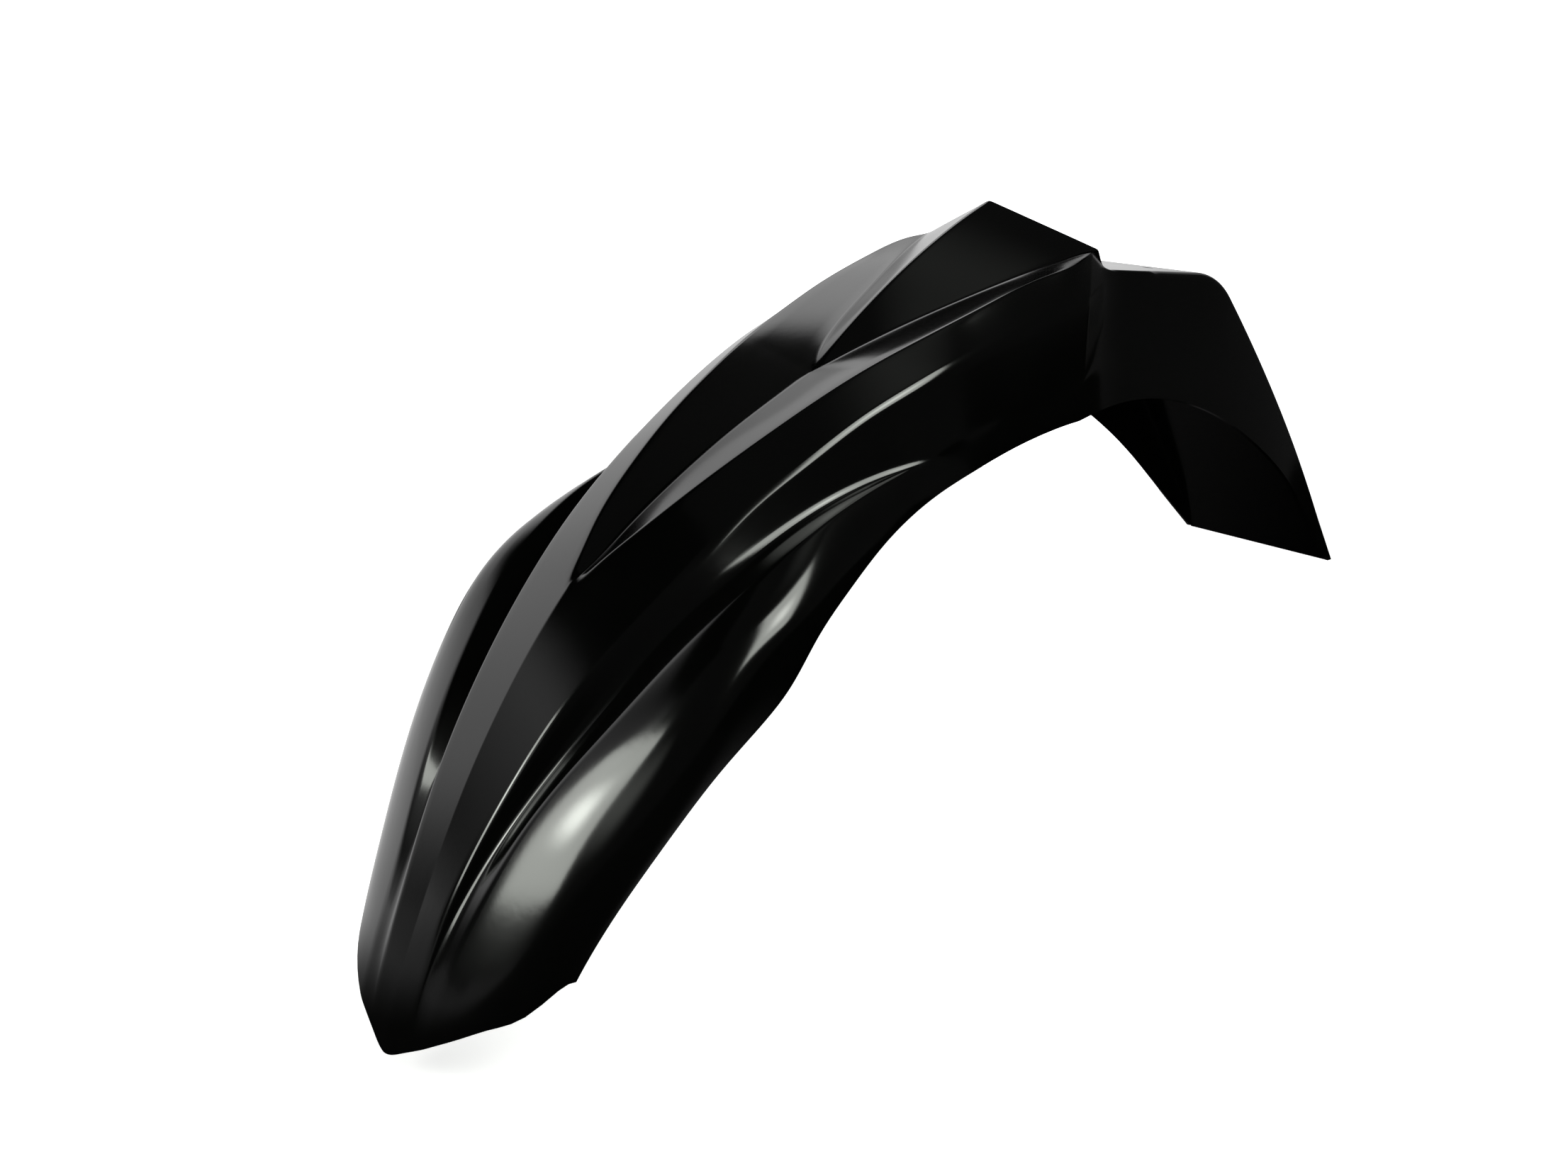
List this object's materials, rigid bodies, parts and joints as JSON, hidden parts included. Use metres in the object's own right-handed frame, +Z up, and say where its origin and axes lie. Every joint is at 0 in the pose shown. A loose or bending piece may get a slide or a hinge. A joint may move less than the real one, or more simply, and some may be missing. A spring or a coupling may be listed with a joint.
{
  "type": "motorcycle front mudguard",
  "caption": "One-piece glossy black plastic front mudguard for an off-road motorcycle: creased nose with side wings, raised hump, fork notches and a rear flap, bolted under the lower fork clamp",
  "frame": {"origin": "middle of the four bolt holes on the top face of the mounting deck", "axes": "+X forward to the tip, +Y to the rider's left, +Z up along the fork legs, square to the deck; the part is the same on both sides of the XZ plane"},
  "size_m": [0.7174, 0.2324, 0.4428],
  "materials": {
    "plastic": "deep black high gloss moulded plastic"
  },
  "bodies": {
    "root": {"mudguard": "plastic"}
  },
  "joints": []
}
